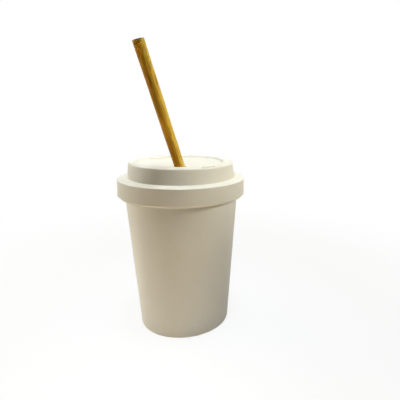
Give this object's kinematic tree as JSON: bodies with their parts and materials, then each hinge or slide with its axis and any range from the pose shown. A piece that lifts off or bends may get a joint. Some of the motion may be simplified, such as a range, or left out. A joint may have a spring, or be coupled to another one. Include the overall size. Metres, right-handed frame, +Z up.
{
  "type": "lidded bamboo fibre mug",
  "caption": "Tapered bamboo-fibre drinking cup with a push-on stepped lid, seal ring, arc-shaped sip slot and leaning bamboo straw; the lid lifts off and the straw draws out.",
  "frame": {"origin": "middle of the cup's foot, on the surface that it stands on", "axes": "+Z up along the cup's axis; -Y is the front, the side from which the straw leans up to the left and towards the viewer; +X to the right"},
  "size_m": [0.095, 0.097, 0.2083],
  "materials": {
    "cup_composite": "matte moulded bamboo-fibre composite, cream with fine fibre flecks",
    "lid_composite": "matte moulded bamboo-fibre composite, cream with fine fibre flecks",
    "seal_silicone": "moulded translucent-white silicone, soft satin",
    "straw_bamboo": "natural bamboo cane, sanded and lightly polished, golden brown"
  },
  "bodies": {
    "cup": {"cup_body": "cup_composite"},
    "lid_set": {"lid": "lid_composite", "seal_ring": "seal_silicone"},
    "straw_cane": {"straw": "straw_bamboo"}
  },
  "joints": [
    {"name": "lid_lift", "type": "slide", "parent": "cup", "child": "lid_set", "axis": [0, 0, 1], "range_m": [0, 0.1]},
    {"name": "straw_draw", "type": "slide", "parent": "lid_set", "child": "straw_cane", "axis": [-0.2556, -0.2869, 0.9232], "range_m": [0, 0.12]}
  ]
}
